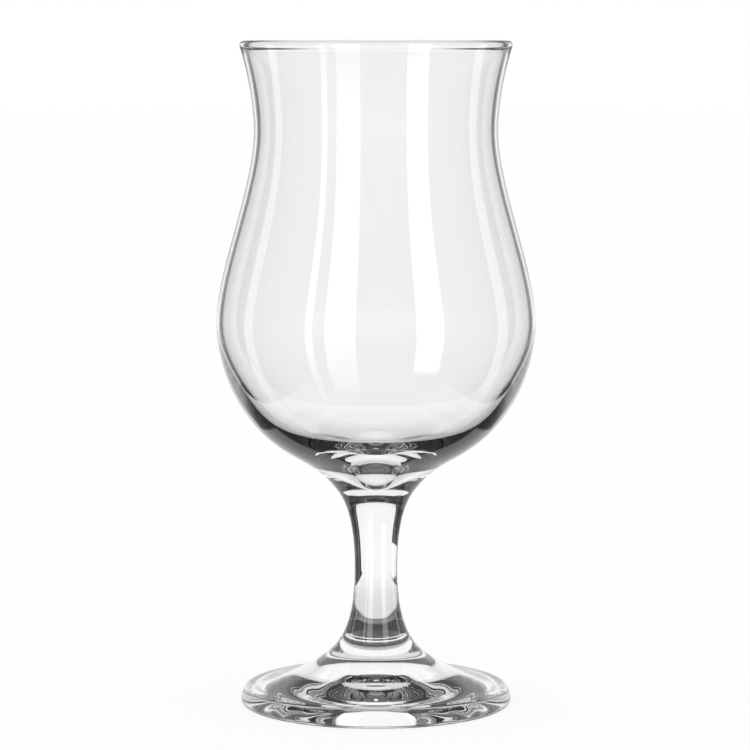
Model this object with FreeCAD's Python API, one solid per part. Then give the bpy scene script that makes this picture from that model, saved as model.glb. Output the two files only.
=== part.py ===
"""Poco grande glass: a clear stemmed drinking glass made of three welded pieces.

Lengths are in millimetres and leans in degrees from upright, outwards positive.
The origin is the centre of the ring that the glass stands on, and +Z runs up the
axis that every piece is turned about.
"""
import FreeCAD, Part
import math
import os
from FreeCAD import Vector

# Heights, one on top of the other from the table to the top of the lip.
foot_height = 10.75
stem_length = 46.25
belly_rise = 44.0
waist_rise = 50.8
lip_rise = 23.2

# Bowl, outside.
neck_radius = 10.4
neck_lean = 37.7
flank_lean = 55.9
belly_radius = 42.0
waist_radius = 31.9
rim_radius = 35.6
rim_lean = 16.9

# Bowl, inside: the wall at each height, the beaded lip and the well in the floor.
wall_at_lip = 1.5
wall_at_waist = 1.64
wall_at_belly = 1.6
wall_at_flank = 4.6
inner_flank_lean = 68.0
lip_thickness = 2.2
lip_blend_length = 2.0
lip_undercut = 35.0
floor_thickness = 3.3
well_radius = 9.3
well_depth = 6.5
well_lean = 72.0

# Stem.
stem_radius = 5.65
stem_waist_rise = 24.9

# Foot.
stem_base_radius = 16.45
stem_base_lean = -59.4
foot_radius = 35.8
foot_heel_radius = 1.0
foot_edge_radius = 5.2
foot_edge_sweep = 35.0
bearing_ring_width = 2.7
underside_lean = -80.0
punt_radius = 12.4
punt_shoulder_height = 2.9
punt_lean = -70.0
punt_height = 4.75

# Where the hollow of the neck turns into the round of the belly, as shares of the
# way from the neck to the belly.
flank_radius_share = 0.459
flank_height_share = 0.251

# How far the handles of each curve reach, as shares of the distance that the curve
# spans: the handle at its lower end, then the one at its upper end.
foot_top_shares = (0.12, 0.716)
lower_stem_shares = (0.238, 0.634)
upper_stem_shares = (0.677, 0.121)
neck_shares = (0.459, 0.363)
lower_belly_shares = (0.441, 0.222)
upper_belly_shares = (0.267, 0.283)
waist_to_lip_shares = (0.15, 0.492)
lip_blend_shares = (0.35, 0.45)
inner_belly_shares = (0.285, 0.35)
inner_flank_shares = (0.3, 0.3)
well_shares = (0.3, 0.3)
underside_shares = (0.3, 0.35)
punt_shares = (0.35, 0.4)

# Heights above the table, and sizes that follow from those above.
neck_height = foot_height + stem_length
belly_height = neck_height + belly_rise
waist_height = belly_height + waist_rise
overall_height = waist_height + lip_rise
lip_radius = lip_thickness / 2

origin = Vector(0, 0, 0)
axis = Vector(0, 0, 1)


class Station:
    """A place on an outline, with the directions along and away from it there."""

    def __init__(self, radius, height, lean):
        turn = math.radians(lean)
        self.place = Vector(radius, 0, height)
        self.upwards = Vector(math.sin(turn), 0, math.cos(turn))
        self.outwards = Vector(math.cos(turn), 0, -math.sin(turn))


def curve(lower, upper, handle_shares):
    """A smooth curve from the lower station to the upper one."""
    span = lower.place.distanceToPoint(upper.place)
    lower_handle = lower.place + lower.upwards * span * handle_shares[0]
    upper_handle = upper.place - upper.upwards * span * handle_shares[1]
    bezier = Part.BezierCurve()
    bezier.setPoles([lower.place, lower_handle, upper_handle, upper.place])
    return bezier.toShape()


def straight(start, end):
    """A straight edge between two places."""
    return Part.LineSegment(start, end).toShape()


def round_edge(centre, radius, first_angle, last_angle):
    """An arc about a centre, its angles counted up from straight outwards."""
    places = []
    for angle in (first_angle, (first_angle + last_angle) / 2, last_angle):
        turn = math.radians(angle)
        places.append(centre + Vector(math.cos(turn), 0, math.sin(turn)) * radius)
    return Part.Arc(*places).toShape()


def turn_solid(outline):
    """The solid of a closed outline turned once about the axis."""
    face = Part.Face(Part.Wire(Part.__sortEdges__(outline)))
    return face.revolve(origin, axis, 360)


# The two places where a piece is welded to the next, face to face.
stem_base = Station(stem_base_radius, foot_height, stem_base_lean)
neck = Station(neck_radius, neck_height, neck_lean)
stem_base_centre = Vector(0, 0, foot_height)
neck_centre = Vector(0, 0, neck_height)


def make_foot():
    """The pressed disc foot: rounded edge, standing ring and a hollow underside."""
    heel_centre = Vector(foot_radius - foot_heel_radius, 0, foot_heel_radius)
    ring_outside = Vector(foot_radius - foot_heel_radius, 0, 0)
    edge_centre = Vector(foot_radius - foot_edge_radius, 0, foot_heel_radius)
    sweep = math.radians(foot_edge_sweep)
    edge_top = Station(
        edge_centre.x + foot_edge_radius * math.cos(sweep),
        edge_centre.z + foot_edge_radius * math.sin(sweep),
        -foot_edge_sweep,
    )
    ring_inside = Station(ring_outside.x - bearing_ring_width, 0, underside_lean)
    shoulder = Station(punt_radius, punt_shoulder_height, punt_lean)
    crown = Station(0, punt_height, -90)
    return turn_solid([
        round_edge(heel_centre, foot_heel_radius, -90, 0),
        round_edge(edge_centre, foot_edge_radius, 0, foot_edge_sweep),
        curve(edge_top, stem_base, foot_top_shares),
        straight(stem_base.place, stem_base_centre),
        straight(stem_base_centre, crown.place),
        curve(shoulder, crown, punt_shares),
        curve(ring_inside, shoulder, underside_shares),
        straight(ring_inside.place, ring_outside),
    ])


def make_stem():
    """The short stem, waisted between its spread base and the neck of the bowl."""
    waist = Station(stem_radius, foot_height + stem_waist_rise, 0)
    return turn_solid([
        straight(stem_base_centre, stem_base.place),
        curve(stem_base, waist, lower_stem_shares),
        curve(waist, neck, upper_stem_shares),
        straight(neck.place, neck_centre),
        straight(neck_centre, stem_base_centre),
    ])


def make_bowl():
    """The blown bowl: round belly, drawn-in waist, flared beaded lip, thick floor."""
    flank = Station(
        neck_radius + (belly_radius - neck_radius) * flank_radius_share,
        neck_height + belly_rise * flank_height_share,
        flank_lean,
    )
    belly = Station(belly_radius, belly_height, 0)
    waist = Station(waist_radius, waist_height, 0)
    lip_centre = Vector(rim_radius - lip_radius, 0, overall_height - lip_radius)
    lean = math.radians(rim_lean)
    lip_outside = Station(
        lip_centre.x + lip_radius * math.cos(lean),
        lip_centre.z - lip_radius * math.sin(lean),
        rim_lean,
    )
    undercut = math.radians(lip_undercut)
    lip_inside = Station(
        lip_centre.x - lip_radius * math.cos(undercut),
        lip_centre.z - lip_radius * math.sin(undercut),
        -lip_undercut,
    )
    under_lip_place = (
        lip_outside.place
        - lip_outside.upwards * lip_blend_length
        - lip_outside.outwards * wall_at_lip
    )
    under_lip = Station(under_lip_place.x, under_lip_place.z, rim_lean)
    inner_waist = Station(waist_radius - wall_at_waist, waist_height, 0)
    inner_belly = Station(belly_radius - wall_at_belly, belly_height, 0)
    inner_flank_place = flank.place - flank.outwards * wall_at_flank
    inner_flank = Station(inner_flank_place.x, inner_flank_place.z, inner_flank_lean)
    floor_height = neck_height + floor_thickness
    well_mouth = Station(well_radius, floor_height + well_depth, well_lean)
    well_floor = Station(0, floor_height, 90)
    return turn_solid([
        straight(neck_centre, neck.place),
        curve(neck, flank, neck_shares),
        curve(flank, belly, lower_belly_shares),
        curve(belly, waist, upper_belly_shares),
        curve(waist, lip_outside, waist_to_lip_shares),
        round_edge(lip_centre, lip_radius, -rim_lean, 180 + lip_undercut),
        curve(under_lip, lip_inside, lip_blend_shares),
        curve(inner_waist, under_lip, waist_to_lip_shares),
        curve(inner_belly, inner_waist, upper_belly_shares),
        curve(inner_flank, inner_belly, inner_belly_shares),
        curve(well_mouth, inner_flank, inner_flank_shares),
        curve(well_floor, well_mouth, well_shares),
        straight(well_floor.place, neck_centre),
    ])


os.makedirs("parts", exist_ok=True)
for node, make in (("bowl", make_bowl), ("stem", make_stem), ("foot", make_foot)):
    solid = make()
    solid.exportStep("parts/" + node + ".step")
    print(node, solid.ShapeType, solid.isValid(), round(solid.Volume), "mm3")
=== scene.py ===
"""A clear stemmed drinking glass, dressed for a pale studio.

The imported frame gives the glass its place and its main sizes. The three welded
pieces of glass are turned again as fine meshes, because clear glass shows every
facet. The studio is white to the camera, and the kind of ray tells what the glass
shows of it: the card and the table through its walls, a grey room mirrored on them.
"""
import logging
import math
from dataclasses import dataclass, field
from enum import Enum
from typing import Any, Iterable, Union

import bmesh
import bpy
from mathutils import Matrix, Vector
from mathutils.geometry import interpolate_bezier


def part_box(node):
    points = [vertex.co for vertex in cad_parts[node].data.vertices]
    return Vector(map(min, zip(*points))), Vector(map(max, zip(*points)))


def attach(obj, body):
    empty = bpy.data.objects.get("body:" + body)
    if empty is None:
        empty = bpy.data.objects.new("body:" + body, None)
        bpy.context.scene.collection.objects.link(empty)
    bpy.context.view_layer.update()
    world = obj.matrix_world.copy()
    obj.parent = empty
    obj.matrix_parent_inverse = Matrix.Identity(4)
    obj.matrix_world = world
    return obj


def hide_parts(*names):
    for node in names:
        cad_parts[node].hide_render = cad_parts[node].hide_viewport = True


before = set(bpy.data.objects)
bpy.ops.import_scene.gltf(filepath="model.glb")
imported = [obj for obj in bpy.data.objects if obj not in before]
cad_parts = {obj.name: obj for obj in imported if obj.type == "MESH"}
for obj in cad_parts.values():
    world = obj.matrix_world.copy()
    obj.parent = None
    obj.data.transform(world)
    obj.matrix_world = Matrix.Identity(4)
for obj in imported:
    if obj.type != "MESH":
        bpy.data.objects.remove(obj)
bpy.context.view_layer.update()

LOG = logging.getLogger("glass")
MM = 0.001
DEGREES = math.degrees(1)
ORIGIN = Vector((0.0, 0.0, 0.0))
AXIS = Vector((0.0, 0.0, 1.0))
WHITE = (1.0, 1.0, 1.0, 1.0)
Shares = tuple[float, float]

# A curve has at least so many steps, and places nearer than this share of a step are one.
LEAST_STEPS = 8
SAME_PLACE_SHARE = 1e-4

# Corners nearer than the first are merged, and those of a weld lie level to the second.
MERGE_DISTANCE = 1e-7
WELD_TOLERANCE = 1e-6

# Edges that turn by more than this many degrees are drawn sharp.
SHARP_ANGLE = 30.0

# Rays cross the thick bottom and the foot many times, and go black with few bounces.
RAY_BOUNCES = 48

# A ray that has passed both walls of the bowl has crossed this many surfaces.
BOTH_WALLS = 4

# How gently a count of crossings or mirrorings steps from 0 to 1.
COUNT_SOFT = 0.1

# How gently a window of the room starts, in the cosine of its bearing.
WINDOW_SOFT = 0.04


class Node(Enum):
    """The pieces of glass, by the names of their nodes in the frame."""

    FOOT = "foot"
    STEM = "stem"
    BOWL = "bowl"

    @property
    def top_corner(self) -> Vector:
        """The upper corner of the node's box."""
        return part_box(self.value)[1]


class Ray(Enum):
    """What a Light Path node tells of a ray, by the names of its outputs."""

    CAMERA = "Is Camera Ray"
    GLOSSY = "Is Glossy Ray"
    BENT = "Is Transmission Ray"
    MIRRORINGS = "Glossy Depth"
    CROSSINGS = "Transmission Depth"


@dataclass(frozen=True)
class Station:
    """A place on an outline, and how far from upright the outline leans there.

    Args:
        radius: Distance from the axis, in metres.
        height: Height above the table, in metres.
        lean: Degrees from upright, outwards positive.
    """

    radius: float
    height: float
    lean: float

    @property
    def place(self) -> Vector:
        """The station as a point in the outline's plane."""
        return Vector((self.radius, 0.0, self.height))

    @property
    def upwards(self) -> Vector:
        """The direction along the outline, going up."""
        turn = math.radians(self.lean)
        return Vector((math.sin(turn), 0.0, math.cos(turn)))

    @property
    def outwards(self) -> Vector:
        """The direction square to the outline, away from the axis."""
        turn = math.radians(self.lean)
        return Vector((math.cos(turn), 0.0, -math.sin(turn)))


@dataclass
class Outline:
    """Half of a section through a turned piece, drawn place by place.

    Args:
        spacing: Longest distance between neighbouring places, in metres.
        places: The places drawn so far.
    """

    spacing: float
    places: list[Vector] = field(default_factory=list)

    def add(self, places: Iterable[Vector]) -> None:
        """Adds places, and leaves out the first where it is already the last.

        Args:
            places: Points in the outline's plane, in order.
        """
        least = self.spacing * SAME_PLACE_SHARE
        for place in places:
            if not self.places or (place - self.places[-1]).length > least:
                self.places.append(place.copy())

    def add_on_axis(self, height: float) -> None:
        """Adds the place on the axis at a height in metres."""
        self.add([AXIS * height])

    def curve(self, lower: Station, upper: Station, shares: Shares, up: bool = True) -> None:
        """Adds the smooth curve between two stations.

        Args:
            lower: The station at its lower end.
            upper: The station at its upper end.
            shares: Reach of the lower and upper handle, as shares of the span.
            up: Whether the outline goes up the curve, or down it.
        """
        span = (upper.place - lower.place).length
        first = lower.place + lower.upwards * span * shares[0]
        second = upper.place - upper.upwards * span * shares[1]
        steps = max(LEAST_STEPS, math.ceil(span / self.spacing)) + 1
        places = interpolate_bezier(lower.place, first, second, upper.place, steps)
        self.add(places if up else reversed(places))

    def arc(self, centre: Vector, radius: float, first: float, last: float, steps: int) -> None:
        """Adds an arc about a centre.

        Args:
            centre: Centre of the arc, in the outline's plane.
            radius: Radius in metres.
            first: Angle of its first end, in degrees up from straight outwards.
            last: Angle of its last end.
            steps: Number of straight steps along it.
        """
        for step in range(steps + 1):
            turn = math.radians(first + (last - first) * step / steps)
            self.add([centre + Vector((math.cos(turn), 0.0, math.sin(turn))) * radius])


class Signal:
    """A socket's value in a node tree, on which arithmetic adds Math nodes."""

    def __init__(self, maker: "NodeMaker", socket: bpy.types.NodeSocket) -> None:
        """Wraps a socket.

        Args:
            maker: The maker of the tree's nodes.
            socket: The output socket to wrap.
        """
        self.maker = maker
        self.socket = socket

    def math(self, operation: str, *others: "Value") -> "Signal":
        """Adds a Math node whose first value is this signal.

        Args:
            operation: Name of the node's operation.
            others: The values of its further sockets.

        Returns:
            The node's result.
        """
        return self.maker.math(operation, self, *others)

    def __add__(self, other: "Value") -> "Signal":
        """This signal plus another value."""
        return self.math("ADD", other)

    __radd__ = __add__

    def __sub__(self, other: "Value") -> "Signal":
        """This signal less another value."""
        return self.math("SUBTRACT", other)

    def __rsub__(self, other: "Value") -> "Signal":
        """Another value less this signal."""
        return self.maker.math("SUBTRACT", other, self)

    def __mul__(self, other: "Value") -> "Signal":
        """This signal times another value."""
        return self.math("MULTIPLY", other)

    __rmul__ = __mul__

    def __abs__(self) -> "Signal":
        """This signal without its sign."""
        return self.math("ABSOLUTE")

    def larger(self, other: "Value") -> "Signal":
        """The larger of this signal and another value."""
        return self.math("MAXIMUM", other)

    def ramp(self, start: float, end: float) -> "Signal":
        """A smooth step from 0 on one side of a range to 1 on the other.

        Args:
            start: The value at which the step is still 0.
            end: The value from which it is 1, above the start or below it.

        Returns:
            The stepped signal.
        """
        return self.maker.add(
            "ShaderNodeMapRange",
            {"interpolation_type": "SMOOTHSTEP"},
            {"Value": self, "From Min": start, "From Max": end},
        )["Result"]

    def above(self, edge: float, soft: float) -> "Signal":
        """A step that is 1 above an edge, over a softness to each side of it."""
        return self.ramp(edge - soft, edge + soft)

    def below(self, edge: float, soft: float) -> "Signal":
        """A step that is 1 below an edge, over a softness to each side of it."""
        return self.ramp(edge + soft, edge - soft)

    def counts(self, number: int) -> "Signal":
        """1 where this signal, a whole number, is at least the given number, else 0."""
        return self.above(number - 0.5, COUNT_SOFT)


Value = Union[Signal, float]


class NodeMaker:
    """Adds nodes to one node tree."""

    def __init__(self, tree: bpy.types.NodeTree) -> None:
        """Empties a tree and keeps it.

        Args:
            tree: The tree of a material or a world.
        """
        self.tree = tree
        self.tree.nodes.clear()

    def add(
        self, kind: str, settings: dict[str, Any], values: dict[Any, Any]
    ) -> dict[str, Signal]:
        """Adds one node.

        Args:
            kind: The node's type.
            settings: Its own settings, set first.
            values: Values or links of its input sockets, by name or number.

        Returns:
            Its output signals by name.
        """
        node = self.tree.nodes.new(kind)
        for name, setting in settings.items():
            setattr(node, name, setting)
        for name, value in values.items():
            socket = node.inputs[name]
            if isinstance(value, Signal):
                self.tree.links.new(value.socket, socket)
            else:
                socket.default_value = value
        return {output.name: Signal(self, output) for output in node.outputs}

    def math(self, operation: str, *values: Value) -> Signal:
        """Adds a Math node.

        Args:
            operation: Name of its operation.
            values: The values of its sockets, in order.

        Returns:
            Its result.
        """
        return self.add(
            "ShaderNodeMath", {"operation": operation}, dict(enumerate(values))
        )["Value"]

    def glow(self, level: Signal) -> Signal:
        """White light of a level, given off by a surface."""
        return self.add("ShaderNodeEmission", {}, {"Color": WHITE, "Strength": level})["Emission"]

    def clear(self) -> Signal:
        """A surface that nothing shows."""
        return self.add("ShaderNodeBsdfTransparent", {}, {})["BSDF"]

    def mix(self, share: Signal, first: Signal, second: Signal) -> Signal:
        """A mix of two shaders, with the share that the second has in it."""
        return self.add("ShaderNodeMixShader", {}, {0: share, 1: first, 2: second})["Shader"]


@dataclass(frozen=True)
class Spot:
    """A place on a surface or a direction, as signals.

    Args:
        whole: The vector.
        x: Its part to the right, as the camera sees it.
        y: Its part away from the camera.
        z: Its part upwards.
    """

    whole: Signal
    x: Signal
    y: Signal
    z: Signal

    @classmethod
    def of(cls, nodes: NodeMaker, output: str) -> "Spot":
        """Reads an output of the Texture Coordinate node.

        Args:
            nodes: The maker of the tree's nodes.
            output: Name of the output.

        Returns:
            The spot.
        """
        whole = nodes.add("ShaderNodeTexCoord", {}, {})[output]
        parts = nodes.add("ShaderNodeSeparateXYZ", {}, {"Vector": whole})
        return cls(whole, parts["X"], parts["Y"], parts["Z"])

    def reach(self, forward: float = 0.0) -> Signal:
        """Distance from the axis, or from an upright line so far nearer to the camera."""
        along = self.y + forward
        return (self.x * self.x + along * along).math("SQRT")

    def off_camera(self) -> Signal:
        """Degrees from the camera's side of the glass, to the right positive."""
        return self.x.maker.math("ARCTAN2", self.x, 0.0 - self.y) * DEGREES

    def off_behind(self) -> Signal:
        """Degrees from straight behind the glass, to either side."""
        return abs(self.x.maker.math("ARCTAN2", self.x, self.y) * DEGREES)


def window(across: Signal, along: Signal, folds: int, width: float) -> Signal:
    """Where a level direction lies near one of some bearings, evenly spread.

    Args:
        across: The direction's part square to the first bearing.
        along: Its part along the first bearing.
        folds: Number of bearings.
        width: Degrees on each side of a bearing.

    Returns:
        1 near the bearings and 0 between them.
    """
    beat = (across.maker.math("ARCTAN2", across, along) * float(folds)).math("COSINE")
    return beat.above(math.cos(math.radians(width * folds)), WINDOW_SOFT)


class RayPath:
    """The kinds of ray that the studio tells apart.

    A ray that clear glass bends counts as glossy too, so a mirrored one is glossy and
    not bent.
    """

    def __init__(self, nodes: NodeMaker) -> None:
        """Adds the Light Path node.

        Args:
            nodes: The maker of the tree's nodes.
        """
        outputs = nodes.add("ShaderNodeLightPath", {}, {})
        self.camera = outputs[Ray.CAMERA.value]
        self.bent = outputs[Ray.BENT.value]
        self.mirrored = outputs[Ray.GLOSSY.value] * (1.0 - self.bent)
        self.mirrorings = outputs[Ray.MIRRORINGS.value]
        self.crossings = outputs[Ray.CROSSINGS.value]


def new_material(name: str) -> tuple[bpy.types.Material, NodeMaker]:
    """Makes a material without nodes.

    Args:
        name: Name of the material.

    Returns:
        The material and the maker of its nodes.
    """
    material = bpy.data.materials.new(name)
    material.use_nodes = True
    return material, NodeMaker(material.node_tree)


def place_in_scene(
    name: str, shape: bmesh.types.BMesh, materials: Iterable[bpy.types.Material]
) -> bpy.types.Object:
    """Makes an object of a finished shape, and frees the shape.

    Args:
        name: Name of the object.
        shape: The shape, with the numbers of its materials set.
        materials: Its materials in order.

    Returns:
        The new object.
    """
    mesh = bpy.data.meshes.new(name)
    shape.to_mesh(mesh)
    shape.free()
    for material in materials:
        mesh.materials.append(material)
    piece = bpy.data.objects.new(name, mesh)
    bpy.context.scene.collection.objects.link(piece)
    return piece


@dataclass(frozen=True)
class GlassFinish:
    """Clear fire-polished glass, with the faint unevenness that moulds leave.

    Args:
        name: Name of the material.
        index: Index of refraction.
        ripple_height: Height of the unevenness, in metres.
        ripple_scale: Noise cells per metre.
        ripple_detail: Number of finer layers of noise.
        ring_height: Height of the soft rings on top of the foot.
        ring_length: Distance from one ring to the next.
        ring_reach: Distance from the axis at which the rings end.
        ring_reach_soft: Half of the distance over which they fade there.
        ring_top: Height above the table at which they end.
        ring_top_soft: Half of the height over which they fade there.
        ring_floor: Height below which there are none, so that the underside is plain.
        ring_floor_soft: Half of the height over which they fade there.
    """

    name: str
    index: float = 1.5
    ripple_height: float = 0.004 * MM
    ripple_scale: float = 90.0
    ripple_detail: float = 1.0
    ring_height: float = 0.02 * MM
    ring_length: float = 6.5 * MM
    ring_reach: float = 22.0 * MM
    ring_reach_soft: float = 3.0 * MM
    ring_top: float = 24.0 * MM
    ring_top_soft: float = 4.0 * MM
    ring_floor: float = 6.0 * MM
    ring_floor_soft: float = 1.0 * MM

    def relief(self, nodes: NodeMaker) -> Signal:
        """How high the unevenness and the rings stand at each place.

        Args:
            nodes: The maker of the material's nodes.

        Returns:
            The height in metres.
        """
        spot = Spot.of(nodes, "Object")
        cells = {"Vector": spot.whole, "Scale": self.ripple_scale, "Detail": self.ripple_detail}
        noise = nodes.add("ShaderNodeTexNoise", {}, cells)["Fac"]
        reach = spot.reach()
        rings = ((reach - spot.z) * (math.tau / self.ring_length)).math("SINE")
        within = (
            spot.z.below(self.ring_top, self.ring_top_soft)
            * spot.z.above(self.ring_floor, self.ring_floor_soft)
            * reach.below(self.ring_reach, self.ring_reach_soft)
        )
        return noise * self.ripple_height + rings * within * self.ring_height

    def make(self) -> bpy.types.Material:
        """Makes the material.

        Returns:
            The new material.
        """
        material, nodes = new_material(self.name)
        bumps = {"Height": self.relief(nodes), "Distance": 1.0, "Strength": 1.0}
        shader = nodes.add(
            "ShaderNodeBsdfPrincipled",
            {},
            {
                "Base Color": WHITE,
                "Roughness": 0.0,
                "IOR": self.index,
                "Transmission Weight": 1.0,
                "Normal": nodes.add("ShaderNodeBump", {}, bumps)["Normal"],
            },
        )["BSDF"]
        nodes.add("ShaderNodeOutputMaterial", {}, {"Surface": shader})
        return material


@dataclass(frozen=True)
class WeldFinish:
    """The face where two pieces are welded hot, which nothing shows.

    Args:
        name: Name of the material.
    """

    name: str

    def make(self) -> bpy.types.Material:
        """Makes the material.

        Returns:
            The new material.
        """
        material, nodes = new_material(self.name)
        nodes.add("ShaderNodeOutputMaterial", {}, {"Surface": nodes.clear()})
        return material


@dataclass
class TurnedPiece:
    """A piece of glass turned about the axis, with flat weld faces.

    Args:
        glass: Finish of its own surface.
        weld: Finish of its weld faces.
        quarter_steps: Number of steps in a quarter turn.
        spacing: Longest step along its outline, in metres.
    """

    glass: bpy.types.Material
    weld: bpy.types.Material
    quarter_steps: int = 72
    spacing: float = 1.0 * MM

    def turn(self, node: Node, outline: Outline, weld_heights: tuple[float, ...]) -> bpy.types.Object:
        """Turns an outline into a closed mesh and dresses it.

        Args:
            node: The node that the piece replaces.
            outline: Outline from the axis round to the axis again.
            weld_heights: Heights of its flat weld faces.

        Returns:
            The new piece.
        """
        shape = bmesh.new()
        places = [shape.verts.new(place) for place in outline.places]
        edges = [shape.edges.new(pair) for pair in zip(places, places[1:])]
        bmesh.ops.spin(
            shape,
            geom=places + edges,
            cent=ORIGIN,
            axis=AXIS,
            angle=math.radians(90),
            steps=self.quarter_steps,
        )
        for side in ("X", "Y"):
            whole = shape.verts[:] + shape.edges[:] + shape.faces[:]
            bmesh.ops.mirror(shape, geom=whole, axis=side)
        bmesh.ops.remove_doubles(shape, verts=shape.verts, dist=MERGE_DISTANCE)
        bmesh.ops.recalc_face_normals(shape, faces=shape.faces)
        for face in shape.faces:
            heights = [corner.co.z for corner in face.verts]
            for weld_height in weld_heights:
                if all(abs(height - weld_height) < WELD_TOLERANCE for height in heights):
                    face.material_index = 1
        name = node.value
        piece = place_in_scene(f"{name}_glass", shape, (self.glass, self.weld))
        piece.data.shade_smooth()
        piece.data.set_sharp_from_angle(angle=math.radians(SHARP_ANGLE))
        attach(piece, "root")
        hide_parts(name)
        return piece


@dataclass
class Foot(TurnedPiece):
    """The pressed disc foot. Lengths are in metres and leans in degrees from upright.

    Args:
        spacing: Longest step along its outline.
        height: Height at the weld, from the frame.
        radius: Outer radius, from the frame.
        heel_radius: Radius of the rounding at the table.
        edge_radius: Radius of the rounded edge.
        edge_sweep: Degrees over which the edge is rounded, up from straight outwards.
        edge_steps: Number of steps in each of the two roundings.
        ring_width: Width of the flat ring that it stands on.
        underside_lean: Lean of the hollow underside at the ring.
        punt_radius: Radius of the dome under the stem.
        punt_shoulder_height: Height above the table at which the dome starts.
        punt_lean: Lean of the underside there.
        punt_height: Height of the dome's crown.
        top_shares: Handles of the top's curve, as shares of its span.
        underside_shares: Handles of the underside's curve.
        punt_shares: Handles of the dome's curve.
    """

    spacing: float = 0.5 * MM
    height: float = Node.FOOT.top_corner.z
    radius: float = Node.FOOT.top_corner.x
    heel_radius: float = 1.0 * MM
    edge_radius: float = 5.2 * MM
    edge_sweep: float = 35.0
    edge_steps: int = 12
    ring_width: float = 2.7 * MM
    underside_lean: float = -80.0
    punt_radius: float = 12.4 * MM
    punt_shoulder_height: float = 2.9 * MM
    punt_lean: float = -70.0
    punt_height: float = 4.75 * MM
    top_shares: Shares = (0.12, 0.716)
    underside_shares: Shares = (0.3, 0.35)
    punt_shares: Shares = (0.35, 0.4)

    def build(self, stem_base: Station) -> bpy.types.Object:
        """Builds the foot.

        Args:
            stem_base: Where the stem is welded on.

        Returns:
            The piece.
        """
        heel_centre = Vector((self.radius - self.heel_radius, 0.0, self.heel_radius))
        edge_centre = Vector((self.radius - self.edge_radius, 0.0, self.heel_radius))
        sweep = math.radians(self.edge_sweep)
        edge_top = Station(
            edge_centre.x + self.edge_radius * math.cos(sweep),
            edge_centre.z + self.edge_radius * math.sin(sweep),
            -self.edge_sweep,
        )
        ring_inside = Station(heel_centre.x - self.ring_width, 0.0, self.underside_lean)
        shoulder = Station(self.punt_radius, self.punt_shoulder_height, self.punt_lean)
        crown = Station(0.0, self.punt_height, -90.0)
        outline = Outline(self.spacing)
        outline.curve(shoulder, crown, self.punt_shares, up=False)
        outline.curve(ring_inside, shoulder, self.underside_shares, up=False)
        outline.arc(heel_centre, self.heel_radius, -90.0, 0.0, self.edge_steps)
        outline.arc(edge_centre, self.edge_radius, 0.0, self.edge_sweep, self.edge_steps)
        outline.curve(edge_top, stem_base, self.top_shares)
        outline.add_on_axis(self.height)
        return self.turn(Node.FOOT, outline, (self.height,))


@dataclass
class Stem(TurnedPiece):
    """The short waisted stem. Lengths are in metres and leans in degrees from upright.

    Args:
        spacing: Longest step along its outline.
        base_radius: Radius at the foot, from the frame.
        base_lean: Lean there.
        top: Height above the table at which it meets the bowl, from the frame.
        radius: Radius at its waist.
        waist_rise: Height of the waist above the foot.
        neck_radius: Radius at the bowl.
        neck_lean: Lean there.
        lower_shares: Handles of the curve below the waist, as shares of its span.
        upper_shares: Handles of the curve above it.
    """

    spacing: float = 0.6 * MM
    base_radius: float = Node.STEM.top_corner.x
    base_lean: float = -59.4
    top: float = Node.STEM.top_corner.z
    radius: float = 5.65 * MM
    waist_rise: float = 24.9 * MM
    neck_radius: float = 10.4 * MM
    neck_lean: float = 37.7
    lower_shares: Shares = (0.238, 0.634)
    upper_shares: Shares = (0.677, 0.121)

    def base(self, foot: Foot) -> Station:
        """Where the stem is welded to the foot."""
        return Station(self.base_radius, foot.height, self.base_lean)

    @property
    def neck(self) -> Station:
        """Where the stem is welded to the bowl."""
        return Station(self.neck_radius, self.top, self.neck_lean)

    def build(self, foot: Foot) -> bpy.types.Object:
        """Builds the stem.

        Args:
            foot: The foot that it stands on.

        Returns:
            The piece.
        """
        waist = Station(self.radius, foot.height + self.waist_rise, 0.0)
        outline = Outline(self.spacing)
        outline.add_on_axis(foot.height)
        outline.curve(self.base(foot), waist, self.lower_shares)
        outline.curve(waist, self.neck, self.upper_shares)
        outline.add_on_axis(self.top)
        return self.turn(Node.STEM, outline, (foot.height, self.top))


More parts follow.
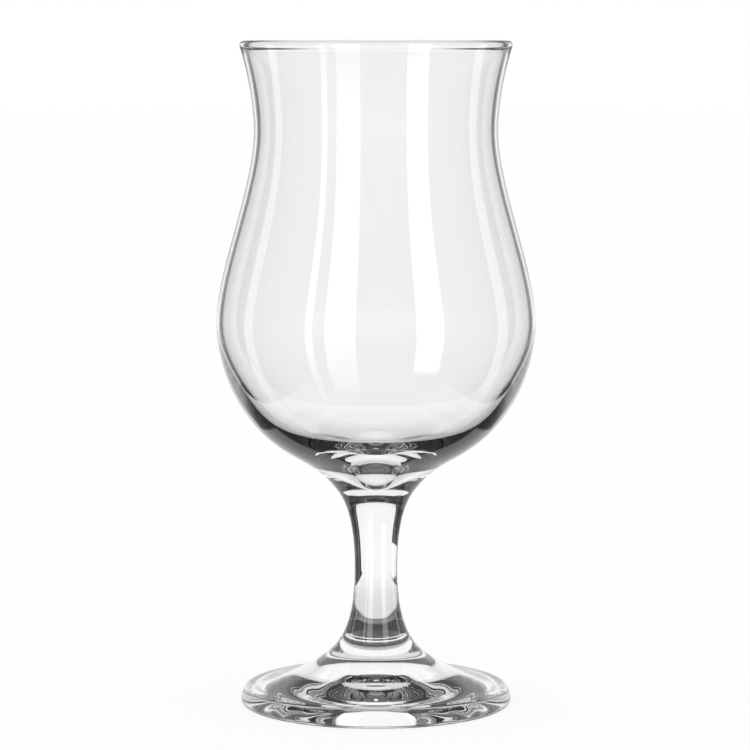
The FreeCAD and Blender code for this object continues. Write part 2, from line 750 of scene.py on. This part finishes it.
@dataclass
class Bowl(TurnedPiece):
    """The blown bowl. Lengths are in metres and leans in degrees from upright.

    Args:
        belly_rise: Height of the belly above the neck.
        waist_rise: Height of the waist above the belly.
        top: Height of the lip above the table, from the frame.
        flank_lean: Lean where the hollow of the neck turns into the round of the belly.
        flank_radius_share: How far out that is, as a share of the way to the belly.
        flank_height_share: How far up that is, as a share of the way to the belly.
        belly_radius: Outer radius of the belly, from the frame.
        waist_radius: Outer radius of the waist.
        rim_radius: Outer radius of the lip.
        rim_lean: Lean of the wall under the lip.
        wall_at_lip: Thickness of the wall under the lip.
        wall_at_waist: Thickness at the waist.
        wall_at_belly: Thickness at the belly.
        wall_at_flank: Thickness at the flank.
        lip_radius: Radius of the bead round the lip.
        lip_blend_length: Length over which the wall swells into the bead.
        lip_undercut: Degrees that the bead's round goes on inside the bowl.
        lip_steps: Number of steps round the bead.
        inner_flank_lean: Lean of the inside at the flank.
        floor_thickness: Thickness of the floor over the stem.
        well_radius: Radius of the well in the floor.
        well_depth: Depth of the well.
        well_lean: Lean of the inside at the well's mouth.
        neck_shares: Handles of the neck's curve, as shares of its span.
        lower_belly_shares: Handles of the curve from the flank to the belly.
        upper_belly_shares: Handles of the curve from the belly to the waist.
        waist_to_lip_shares: Handles of the curve from the waist to the lip.
        lip_blend_shares: Handles of the curve from the wall into the bead.
        inner_belly_shares: Handles of the inside from the flank to the belly.
        inner_flank_shares: Handles of the inside from the well to the flank.
        well_shares: Handles of the well's curve.
    """

    belly_rise: float = 44.0 * MM
    waist_rise: float = 50.8 * MM
    top: float = Node.BOWL.top_corner.z
    flank_lean: float = 55.9
    flank_radius_share: float = 0.459
    flank_height_share: float = 0.251
    belly_radius: float = Node.BOWL.top_corner.x
    waist_radius: float = 31.9 * MM
    rim_radius: float = 35.6 * MM
    rim_lean: float = 16.9
    wall_at_lip: float = 1.5 * MM
    wall_at_waist: float = 1.64 * MM
    wall_at_belly: float = 1.6 * MM
    wall_at_flank: float = 4.6 * MM
    lip_radius: float = 1.1 * MM
    lip_blend_length: float = 2.0 * MM
    lip_undercut: float = 35.0
    lip_steps: int = 24
    inner_flank_lean: float = 68.0
    floor_thickness: float = 3.3 * MM
    well_radius: float = 9.3 * MM
    well_depth: float = 6.5 * MM
    well_lean: float = 72.0
    neck_shares: Shares = (0.459, 0.363)
    lower_belly_shares: Shares = (0.441, 0.222)
    upper_belly_shares: Shares = (0.267, 0.283)
    waist_to_lip_shares: Shares = (0.15, 0.492)
    lip_blend_shares: Shares = (0.35, 0.45)
    inner_belly_shares: Shares = (0.285, 0.35)
    inner_flank_shares: Shares = (0.3, 0.3)
    well_shares: Shares = (0.3, 0.3)

    def build(self, neck: Station) -> bpy.types.Object:
        """Builds the bowl.

        Args:
            neck: Where it is welded to the stem.

        Returns:
            The piece.
        """
        flank = Station(
            neck.radius + (self.belly_radius - neck.radius) * self.flank_radius_share,
            neck.height + self.belly_rise * self.flank_height_share,
            self.flank_lean,
        )
        belly = Station(self.belly_radius, neck.height + self.belly_rise, 0.0)
        waist = Station(self.waist_radius, belly.height + self.waist_rise, 0.0)
        lip_centre = Vector((self.rim_radius - self.lip_radius, 0.0, self.top - self.lip_radius))
        lean = math.radians(self.rim_lean)
        lip_outside = Station(
            lip_centre.x + self.lip_radius * math.cos(lean),
            lip_centre.z - self.lip_radius * math.sin(lean),
            self.rim_lean,
        )
        undercut = math.radians(self.lip_undercut)
        lip_inside = Station(
            lip_centre.x - self.lip_radius * math.cos(undercut),
            lip_centre.z - self.lip_radius * math.sin(undercut),
            -self.lip_undercut,
        )
        under = (
            lip_outside.place
            - lip_outside.upwards * self.lip_blend_length
            - lip_outside.outwards * self.wall_at_lip
        )
        under_lip = Station(under.x, under.z, self.rim_lean)
        inner_waist = Station(self.waist_radius - self.wall_at_waist, waist.height, 0.0)
        inner_belly = Station(self.belly_radius - self.wall_at_belly, belly.height, 0.0)
        flank_inside = flank.place - flank.outwards * self.wall_at_flank
        inner_flank = Station(flank_inside.x, flank_inside.z, self.inner_flank_lean)
        floor = neck.height + self.floor_thickness
        well_mouth = Station(self.well_radius, floor + self.well_depth, self.well_lean)
        well_floor = Station(0.0, floor, 90.0)
        bead_end = 180.0 + self.lip_undercut
        outline = Outline(self.spacing)
        outline.add_on_axis(neck.height)
        outline.curve(neck, flank, self.neck_shares)
        outline.curve(flank, belly, self.lower_belly_shares)
        outline.curve(belly, waist, self.upper_belly_shares)
        outline.curve(waist, lip_outside, self.waist_to_lip_shares)
        outline.arc(lip_centre, self.lip_radius, -self.rim_lean, bead_end, self.lip_steps)
        outline.curve(under_lip, lip_inside, self.lip_blend_shares, up=False)
        outline.curve(inner_waist, under_lip, self.waist_to_lip_shares, up=False)
        outline.curve(inner_belly, inner_waist, self.upper_belly_shares, up=False)
        outline.curve(inner_flank, inner_belly, self.inner_belly_shares, up=False)
        outline.curve(well_mouth, inner_flank, self.inner_flank_shares, up=False)
        outline.curve(well_floor, well_mouth, self.well_shares, up=False)
        return self.turn(Node.BOWL, outline, (neck.height,))


@dataclass(frozen=True)
class Surroundings:
    """What is seen of the room and the table through clear glass, beyond the card.

    Bearings are in degrees from straight behind the glass, to either side.

    Args:
        dark_level: Level of the dark parts, where white is 1.
        gap_start: Bearing of the dark gap's near side, beside the card.
        gap_start_soft: Degrees to each side of it over which the gap starts.
        gap_end: Bearing of its far side.
        gap_end_soft: Degrees to each side of it over which the gap ends.
        side_width: Degrees on each side of bearing 90 that are white to any ray.
        corner_width: Degrees on each side of the two corner windows' bearings.
        front_level: Level of the room in front of the glass.
        front_start: Bearing from which the room gets lighter towards the front.
        front_end: Bearing from which it has its full level.
    """

    dark_level: float = 0.02
    gap_start: float = 24.0
    gap_start_soft: float = 1.0
    gap_end: float = 37.0
    gap_end_soft: float = 3.0
    side_width: float = 12.0
    corner_width: float = 20.0
    front_level: float = 0.38
    front_start: float = 112.0
    front_end: float = 135.0

    def white(self, spot: Spot, path: RayPath) -> Signal:
        """How much white a ray meets that has not been mirrored inside the glass.

        Through both thin walls it shows what lies behind the glass on every side, but
        for a gap on each side of the card. Any other such ray finds the side windows.

        Args:
            spot: The ray's direction, or the place that it meets.
            path: The kinds of ray.

        Returns:
            1 where it meets white.
        """
        bearing = spot.off_behind()
        gap = bearing.above(self.gap_start, self.gap_start_soft) * bearing.below(
            self.gap_end, self.gap_end_soft
        )
        thin = path.crossings.counts(BOTH_WALLS) * (1.0 - gap)
        sides = window(spot.y, spot.x, 2, self.side_width)
        return (1.0 - path.mirrorings.counts(1)) * thin.larger(sides)

    def corners(self, spot: Spot, path: RayPath) -> Signal:
        """How much white an unmirrored ray meets in the corner windows.

        They lie at the back left and at the front right.

        Args:
            spot: The ray's direction, or the place that it meets.
            path: The kinds of ray.

        Returns:
            1 where it meets white.
        """
        both = window(spot.x + spot.y, spot.y - spot.x, 2, self.corner_width)
        return (1.0 - path.mirrorings.counts(1)) * both

    def level(self, spot: Spot, front_share: Signal, white: Signal) -> Signal:
        """The level that the glass shows.

        Args:
            spot: The ray's direction, or the place that it meets.
            front_share: How much of the lighter front there is at its height or reach.
            white: How much white it meets.

        Returns:
            The level.
        """
        front = self.front_level * spot.off_behind().ramp(self.front_start, self.front_end)
        return (self.dark_level + front * front_share).larger(white)


@dataclass(frozen=True)
class Strip:
    """An upright strip light round the glass. All but the level are in degrees.

    Args:
        bearing: Bearing from the camera's side, to the right positive.
        width: Its width.
        low: How far above the horizon it starts.
        low_soft: How far to each side of that it fades in.
        high: How far above the horizon it ends.
        high_soft: How far to each side of that it fades out.
        side_soft: How far to each side of its long edges it fades.
        level: How light it is.
    """

    bearing: float
    width: float
    low: float = -32.0
    low_soft: float = 30.0
    high: float = 48.0
    high_soft: float = 8.0
    side_soft: float = 0.6
    level: float = 3.6

    def light(self, bearing: Signal, rise: Signal) -> Signal:
        """The strip's light in a direction.

        Args:
            bearing: Bearing of the direction from the camera's side.
            rise: Degrees that it lies above the horizon.

        Returns:
            The level.
        """
        across = abs(bearing - self.bearing).below(self.width / 2, self.side_soft)
        along = rise.above(self.low, self.low_soft) * rise.below(self.high, self.high_soft)
        return self.level * across * along


STRIPS = (
    Strip(-104.0, 10.0, low=-35.0, low_soft=15.0, high=30.0, level=1.8),
    Strip(-49.0, 5.8),
    Strip(-25.7, 22.5),
    Strip(39.2, 20.7, low=-31.0, low_soft=3.0),
    Strip(103.5, 11.5, low=-35.0, low_soft=15.0, high=30.0, level=1.8),
)


@dataclass(frozen=True)
class Room:
    """The room as the world: white to the camera, grey with strip lights to a mirror.

    Args:
        surroundings: What is seen of it through the glass.
        strips: The strip lights, which only mirroring shows.
        low_level: Level that the glass mirrors from below the table's height.
        eye_level: Level that it mirrors from the horizon up.
        low_rise: Degrees above the horizon from which the low level rises.
        eye_rise: Degrees above the horizon from which it is the other.
        back_level: What the part behind the glass adds to the level from the horizon up.
        back_start: Degrees from the camera's side where that part starts.
        back_end: Degrees from where it adds its whole level.
        front_top: Degrees above the horizon up to which the lighter front reaches.
        front_soft: Degrees to each side of that over which it fades.
    """

    surroundings: Surroundings
    strips: tuple[Strip, ...] = STRIPS
    low_level: float = 0.07
    eye_level: float = 0.45
    low_rise: float = -35.0
    eye_rise: float = 0.0
    back_level: float = 0.4
    back_start: float = 108.0
    back_end: float = 125.0
    front_top: float = 13.0
    front_soft: float = 12.0

    def mirrored_level(self, way: Spot, rise: Signal, path: RayPath) -> Signal:
        """The level that the glass mirrors from a direction.

        Args:
            way: The direction.
            rise: Degrees that it lies above the horizon.
            path: The kinds of ray.

        Returns:
            The level, with the strip lights where the ray never was in the glass.
        """
        bearing = way.off_camera()
        strips = sum((strip.light(bearing, rise) for strip in self.strips), 0.0)
        back = self.back_level * abs(bearing).ramp(self.back_start, self.back_end)
        lift = (self.eye_level - self.low_level + back) * rise.ramp(self.low_rise, self.eye_rise)
        return self.low_level + lift + strips * (1.0 - path.crossings.counts(1))

    def light(self) -> bpy.types.World:
        """Makes the world.

        Returns:
            The scene's world.
        """
        world = bpy.data.worlds.new("room")
        world.use_nodes = True
        nodes = NodeMaker(world.node_tree)
        way = Spot.of(nodes, "Generated")
        path = RayPath(nodes)
        rise = way.z.math("ARCSINE") * DEGREES
        front_share = rise.below(self.front_top, self.front_soft)
        white = self.surroundings.white(way, path)
        through = path.bent * self.surroundings.level(way, front_share, white)
        mirror = path.mirrored * self.mirrored_level(way, rise, path)
        level = through + mirror + (1.0 - path.bent - path.mirrored)
        back = nodes.add("ShaderNodeBackground", {}, {"Color": WHITE, "Strength": level})
        nodes.add("ShaderNodeOutputWorld", {}, {"Surface": back["Background"]})
        bpy.context.scene.world = world
        return world


@dataclass(frozen=True)
class CardFinish:
    """White card that only glass shows.

    Args:
        name: Name of the material.
        mirrored_upper_shade_level: Level that the glass mirrors from its upper part.
        white_height: Height in metres up to which the glass mirrors it white.
        white_soft: Height to each side of that over which it changes.
    """

    name: str
    # Painted shade: mirrored, the card's upper part glows dimmer than through the glass.
    mirrored_upper_shade_level: float = 0.3
    white_height: float = 100.0 * MM
    white_soft: float = 20.0 * MM

    def make(self) -> bpy.types.Material:
        """Makes the material.

        Returns:
            The new material.
        """
        material, nodes = new_material(self.name)
        path = RayPath(nodes)
        # Painted shade on the card's upper part, which only mirrored rays meet.
        low = Spot.of(nodes, "Object").z.below(self.white_height, self.white_soft)
        shine = low * (1.0 - self.mirrored_upper_shade_level) + self.mirrored_upper_shade_level
        glow = nodes.glow(path.bent + path.mirrored * shine)
        shown = nodes.mix(path.bent + path.mirrored, nodes.clear(), glow)
        nodes.add("ShaderNodeOutputMaterial", {}, {"Surface": shown})
        return material


@dataclass
class Card:
    """The upright white card behind the glass, its sizes in metres.

    Args:
        finish: Its material.
        distance: Distance behind the axis.
        width: Its width.
        height: Its height above the table.
    """

    finish: bpy.types.Material
    distance: float = 170.0 * MM
    width: float = 210.0 * MM
    height: float = 300.0 * MM

    def stand(self) -> bpy.types.Object:
        """Stands the card on the table.

        Returns:
            The card.
        """
        shape = bmesh.new()
        bmesh.ops.create_grid(shape, x_segments=1, y_segments=1, size=0.5)
        for corner in shape.verts:
            rise = self.height * (corner.co.y + 0.5)
            corner.co = (corner.co.x * self.width, self.distance, rise)
        card = place_in_scene("white_card", shape, [self.finish])
        return card


@dataclass(frozen=True)
class TableFinish:
    """Pale table top with a white sheet on it, its sizes in metres.

    The camera sees a pale top with the shadow of the glass, which fades into the white
    behind it. Through the glass the sheet shows, with painted shade that darkens it towards
    the glass and a painted shade under the foot, and the surroundings beyond it. A mirrored
    ray meets only the sheet behind the glass, with its painted shade towards the glass.

    Args:
        name: Name of the material.
        surroundings: What the glass shows beyond the sheet.
        colour: Colour of the top, where it takes the shadow.
        white_share: Share of plain white in what the camera sees of the top.
        sheet_side: Distance from the axis to the sheet's left and right edges.
        sheet_side_soft: Half of the width over which they fade.
        sheet_front: Where its front edge lies along Y.
        sheet_front_soft: Half of the depth over which that fades.
        sheet_reach: Distance from the axis at which the sheet ends behind the glass.
        sheet_reach_soft: Half of the depth over which it ends.
        near_shade_level: Level of the sheet close to the glass.
        near_shade_reach: Distance from the axis up to which it has that level.
        shade_radius: Radius of the shade under the foot.
        shade_soft: Half of the width over which the shade fades.
        shade_shift: How far its centre lies before the axis.
        shade_level: Level of the sheet in the shade.
        corner_near: Distance from the axis from which the corner windows are lit.
        corner_near_soft: Half of the distance over which they start.
        corner_far: Distance up to which they are lit.
        corner_far_soft: Half of the distance over which they end.
        front_near: Distance from which the table in front gets lighter.
        front_far: Distance from which it is as light as the room.
        mirror_width: Degrees on each side of straight behind where the sheet is mirrored.
    """

    name: str
    surroundings: Surroundings
    colour: tuple[float, float, float, float] = (0.96, 0.96, 0.96, 1.0)
    white_share: float = 0.85
    sheet_side: float = 90.0 * MM
    sheet_side_soft: float = 3.0 * MM
    sheet_front: float = -60.0 * MM
    sheet_front_soft: float = 15.0 * MM
    sheet_reach: float = 210.0 * MM
    sheet_reach_soft: float = 8.0 * MM
    # Painted shade: the sheet is darker close to the glass.
    near_shade_level: float = 0.75
    near_shade_reach: float = 45.0 * MM
    shade_radius: float = 44.0 * MM
    shade_soft: float = 4.0 * MM
    shade_shift: float = 3.0 * MM
    shade_level: float = 0.08
    corner_near: float = 150.0 * MM
    corner_near_soft: float = 20.0 * MM
    corner_far: float = 1000.0 * MM
    corner_far_soft: float = 50.0 * MM
    front_near: float = 400.0 * MM
    front_far: float = 2000.0 * MM
    mirror_width: float = 60.0

    def on_sheet(self, spot: Spot) -> Signal:
        """Where the white sheet lies.

        Args:
            spot: A place on the table.

        Returns:
            1 on the sheet and 0 beside it.
        """
        sides = abs(spot.x).below(self.sheet_side, self.sheet_side_soft)
        front = spot.y.above(self.sheet_front, self.sheet_front_soft)
        return sides * front * spot.reach().below(self.sheet_reach, self.sheet_reach_soft)

    def shaded_sheet_level(self, spot: Spot) -> Signal:
        """How light the sheet is outside the foot's shade, with painted shade that darkens it towards
        the glass.

        Args:
            spot: A place on the table.

        Returns:
            The level.
        """
        # Painted shade that darkens the sheet towards the glass.
        far = spot.reach().ramp(self.near_shade_reach, self.sheet_reach)
        return self.near_shade_level + (1.0 - self.near_shade_level) * far

    def beyond_level(self, spot: Spot, path: RayPath) -> Signal:
        """What the glass shows of the table beyond the sheet.

        Args:
            spot: A place on the table.
            path: The kinds of ray.

        Returns:
            The level.
        """
        reach = spot.reach()
        lit = reach.above(self.corner_near, self.corner_near_soft) * reach.below(
            self.corner_far, self.corner_far_soft
        )
        corners = self.surroundings.corners(spot, path) * lit
        white = self.surroundings.white(spot, path).larger(corners)
        front_share = reach.ramp(self.front_near, self.front_far)
        return self.surroundings.level(spot, front_share, white)

    def make(self) -> bpy.types.Material:
        """Makes the material.

        Returns:
            The new material.
        """
        material, nodes = new_material(self.name)
        path = RayPath(nodes)
        spot = Spot.of(nodes, "Object")
        sheet = self.on_sheet(spot)
        # The sheet's level, with painted shade towards the glass.
        plain = self.shaded_sheet_level(spot)
        unshaded = spot.reach(self.shade_shift).above(self.shade_radius, self.shade_soft)
        shaded = unshaded * (1.0 - self.shade_level) + self.shade_level
        beyond = (1.0 - sheet) * self.beyond_level(spot, path)
        through = path.bent * (sheet * plain * shaded).larger(beyond)
        glow = nodes.glow(path.camera + through + path.mirrored * plain)
        lit = nodes.add("ShaderNodeBsdfDiffuse", {}, {"Color": self.colour})["BSDF"]
        glowing = (path.camera * self.white_share + path.bent + path.mirrored).math("MINIMUM", 1.0)
        top = nodes.mix(glowing, lit, glow)
        behind = window(spot.x, spot.y, 1, self.mirror_width)
        passed = path.mirrored * (1.0 - sheet * behind)
        shown = nodes.mix(passed, top, nodes.clear())
        nodes.add("ShaderNodeOutputMaterial", {}, {"Surface": shown})
        return material


@dataclass
class Table:
    """The round table top.

    Args:
        finish: Its material.
        radius: Its radius in metres, which takes it out of the picture.
        sides: Number of its sides.
    """

    finish: bpy.types.Material
    radius: float = 6.0
    sides: int = 96

    def lay(self) -> bpy.types.Object:
        """Lays the table top under the glass.

        Returns:
            The table top.
        """
        shape = bmesh.new()
        bmesh.ops.create_circle(shape, cap_ends=True, segments=self.sides, radius=self.radius)
        table = place_in_scene("table_top", shape, [self.finish])
        return table


@dataclass(frozen=True)
class Sight:
    """The camera, as it stood before the glass in the photograph.

    Args:
        distance: Its level distance from the axis, in metres.
        height: Its height above the table, in metres.
        tilt: Degrees that it looks down.
        focal_pixels: Focal length in pixels of the photograph.
        frame_pixels: Width of the photograph in pixels.
        axis_pixel: The photograph's column where the axis of the glass lies.
        sensor_width: Width of the camera's sensor, in millimetres.
        clip_start: Nearest distance that it shows, in metres.
        clip_end: Farthest distance that it shows, in metres.
    """

    distance: float = 859.2 * MM
    height: float = 179.6 * MM
    tilt: float = 6.129
    focal_pixels: float = 3278.25
    frame_pixels: float = 750.0
    axis_pixel: float = 376.0
    sensor_width: float = 36.0
    clip_start: float = 0.01
    clip_end: float = 50.0

    def set_camera(self) -> bpy.types.Object:
        """Makes the camera.

        Returns:
            The camera's object.
        """
        data = bpy.data.cameras.new("camera")
        data.sensor_width = self.sensor_width
        data.lens = self.sensor_width * self.focal_pixels / self.frame_pixels
        data.clip_start = self.clip_start
        data.clip_end = self.clip_end
        camera = bpy.data.objects.new("camera", data)
        aside = (self.frame_pixels / 2 - self.axis_pixel) * self.distance / self.focal_pixels
        camera.location = (aside, -self.distance, self.height)
        camera.rotation_euler = (math.radians(90 - self.tilt), 0.0, 0.0)
        bpy.context.scene.collection.objects.link(camera)
        bpy.context.scene.camera = camera
        return camera


def main() -> None:
    """Builds the glass, its studio and the camera."""
    logging.basicConfig(level=logging.INFO, format="%(name)s %(message)s")
    scene = bpy.context.scene
    scene.view_settings.view_transform = "Standard"
    scene.cycles.max_bounces = RAY_BOUNCES
    scene.cycles.transmission_bounces = RAY_BOUNCES
    scene.cycles.glossy_bounces = RAY_BOUNCES
    scene.cycles.transparent_max_bounces = RAY_BOUNCES
    surroundings = Surroundings()
    Sight().set_camera()
    Room(surroundings).light()
    table = Table(TableFinish("pale_table", surroundings).make())
    card = Card(CardFinish("lit_card").make())
    glass = GlassFinish("fire_polished_glass").make()
    weld = WeldFinish("weld").make()
    foot = Foot(glass, weld)
    stem = Stem(glass, weld)
    bowl = Bowl(glass, weld)
    pieces = (
        table.lay(),
        card.stand(),
        foot.build(stem.base(foot)),
        stem.build(foot),
        bowl.build(stem.neck),
    )
    for piece in pieces:
        LOG.info("%s: %d faces", piece.name, len(piece.data.polygons))


if __name__ == "__main__":
    main()
